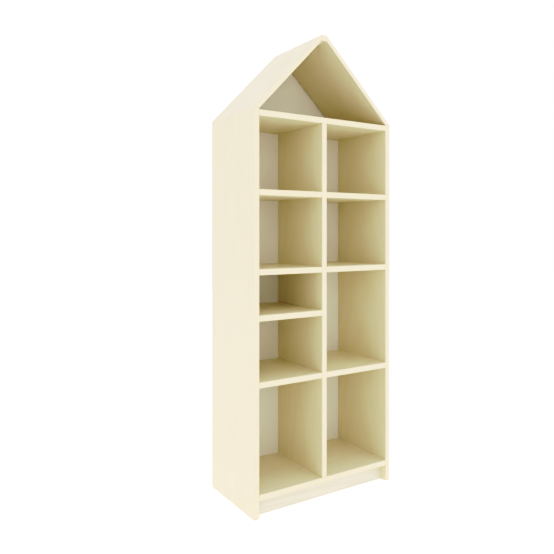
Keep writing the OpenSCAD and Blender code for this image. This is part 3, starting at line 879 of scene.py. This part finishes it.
# %% [markdown]
# ### Confirmat screws
# The flat head has a hexagon socket, the neck fills the bored board, and the coarse thread below it cuts
# into the edge of the divider. The profile starts at the bottom of the socket and comes out over its
# rim, so the socket and the head are one turned skin, and only the socket's radius follows six sides.

# %% Confirmat screws
def polygon_hole(corners, across_flats):
    half = math.pi / corners
    return lambda angle: across_flats / 2 / math.cos((angle + half) % (2 * half) - half)


DOWN = (0, 0, -1)
SOCKET = polygon_hole(corners=6, across_flats=3.4)
CONFIRMAT_CORE = 1.75
CONFIRMAT_NECK = 18.0
CONFIRMAT_HEAD = [
    (0, 1.9), (SOCKET, 2.0), (SOCKET, 0.15), (2.3, 0.0), (4.7, 0.0), (5.0, 0.3), (5.0, 2.6), (4.7, 3.0),
    (3.5, 3.0), (3.5, 17.6), (3.1, CONFIRMAT_NECK), (CONFIRMAT_CORE, CONFIRMAT_NECK),
]
CONFIRMAT_POINT = 3.0
CONFIRMAT_TIP = 0.5
CONFIRMAT_TIP_GAP = 1.0


def confirmat(shape, spot):
    end = spot.length
    point = [(CONFIRMAT_CORE, end - CONFIRMAT_POINT), (CONFIRMAT_TIP, end), (0, end)]
    turn(shape, spot, CONFIRMAT_HEAD + point, sides=36)
    add_thread(
        shape, spot, core=CONFIRMAT_CORE, crest=2.5, pitch=3.0,
        start=CONFIRMAT_NECK, end=end - CONFIRMAT_TIP_GAP, sides=18,
    )


screws_below = refit("threaded_", "screws_bottom", confirmat, UP)
screws_above = refit("threaded_", "screws_top", confirmat, DOWN)
print("confirmat screws from below and above:", screws_below, screws_above)

# %% [markdown]
# ### Covers, nails and glides
# The covers are thin moulded buttons with a slightly domed face. Panel nails have small flat heads.
# A glide is a nylon button with a rounded rim, held by a nail whose head sits in a well. These are
# round all the way, so a profile for each is all that it takes.

# %% Covers
COVER_SIDES = 32
CAM_COVER = [
    (0, 0.0), (4.5, 0.06), (6.8, 0.2), (8.0, 0.48), (8.5, 0.85), (8.5, 1.0), (0.7, 1.0),
    (0.7, 2.2), (0.5, 2.4), (0, 2.4),
]
SCREW_COVER = [
    (0, 0.0), (3.4, 0.05), (5.2, 0.2), (6.1, 0.5), (6.5, 0.95), (6.5, 1.2), (1.5, 1.2),
    (1.5, 2.4), (1.2, 2.6), (0, 2.6),
]
cam_cover_nodes = [n for n in frame["nodes"] if n.startswith("caps_")]
covers = {n: refit("domed_", n, turned(CAM_COVER, COVER_SIDES), UP) for n in cam_cover_nodes}
covers["screw_caps"] = refit("domed_", "screw_caps", turned(SCREW_COVER, COVER_SIDES), DOWN)
print("covers:", covers)

# %% Nails and glides
PANEL_NAIL = [
    (0, 0.0), (0.35, 0.9), (0.7, 2.4), (0.7, 19.6), (1.1, 20.0), (1.7, 20.1), (1.8, 20.3),
    (1.75, 20.6), (1.2, 20.85), (0, 20.9),
]
GLIDE = [
    (0, 0.55), (2.6, 0.55), (2.95, 0.2), (3.6, 0.0), (6.4, 0.0), (7.1, 0.22), (7.45, 0.6), (7.5, 1.0),
    (7.4, 1.4), (7.1, 1.5), (1.0, 1.5), (1.0, 14.0), (0.4, 15.5), (0, 15.5),
]
GLIDE_NAIL_HEAD = [(0, 0.12), (1.2, 0.16), (2.0, 0.36), (2.2, 0.55), (0, 0.55)]
panel_nails = refit("headed_", "back_nails", turned(PANEL_NAIL, sides=16), REAR)
glides = refit("rounded_", "glides", turned(GLIDE, sides=36), UP)
nail_heads = build_at(spots_of("glides", UP), turned(GLIDE_NAIL_HEAD, sides=20))
add_piece("glide_nail_heads", nail_heads, "zinc")
print("panel nails:", panel_nails, "and glides with a nail head each:", glides)

# %% [markdown]
# ### Wall brackets and their screws
# The brackets are bent from steel strip, so their edges are slightly rolled over by the press. That is
# a small bevel on every edge sharper than the bend itself. Their screws have a pan head with a cross
# recess and a full thread. The recess is a rule for the radius again, this time a cross.

# %% Brackets
SHARP_EDGE = math.radians(60)
ROLLED_EDGE = 0.25 * MM


def rolled_bracket(node):
    shape = whole_faces(node)
    sharp = [e for e in shape.edges if e.is_manifold and e.calc_face_angle() > SHARP_EDGE]
    bevel(shape, sharp, ROLLED_EDGE, segments=2)
    replace_node("rolled_" + node, shape, node)
    return len(sharp)


print("rolled edges:", rolled_bracket("wall_bracket_left"), rolled_bracket("wall_bracket_right"))

# %% Bracket screws
# A sine is never taken as smaller than this, so that nothing is divided by zero along an arm
SMALLEST_SINE = 0.001


def cross_hole(reach, width):
    def radius(angle):
        off_arm = abs((angle + math.pi / 4) % (math.pi / 2) - math.pi / 4)
        return min(reach / math.cos(off_arm), width / 2 / max(math.sin(off_arm), SMALLEST_SINE))
    return radius


RECESS_MOUTH = cross_hole(reach=1.9, width=1.1)
RECESS_END = cross_hole(reach=1.2, width=0.7)
PAN_RECESS = [(0, 1.3), (RECESS_END, 1.3), (RECESS_MOUTH, 0.05)]
PAN_HEAD = [(2.4, 0.1), (3.3, 0.7), (3.7, 1.5), (3.6, 2.2)]
PAN_HEIGHT = PAN_HEAD[-1][1]
SCREW_CORE = 1.5
SCREW_POINT = 2.2
SCREW_TIP = 0.3
SCREW_HEAD_GAP = 0.4
SCREW_TIP_GAP = 0.8


def bracket_screw(shape, spot):
    end = spot.length
    shank = [(SCREW_CORE, PAN_HEIGHT), (SCREW_CORE, end - SCREW_POINT), (SCREW_TIP, end), (0, end)]
    turn(shape, spot, PAN_RECESS + PAN_HEAD + shank, sides=48)
    add_thread(
        shape, spot, core=SCREW_CORE, crest=2.0, pitch=1.8,
        start=PAN_HEIGHT + SCREW_HEAD_GAP, end=end - SCREW_TIP_GAP, sides=16,
    )


print("bracket screws:", refit("threaded_", "bracket_screws", bracket_screw, DOWN))
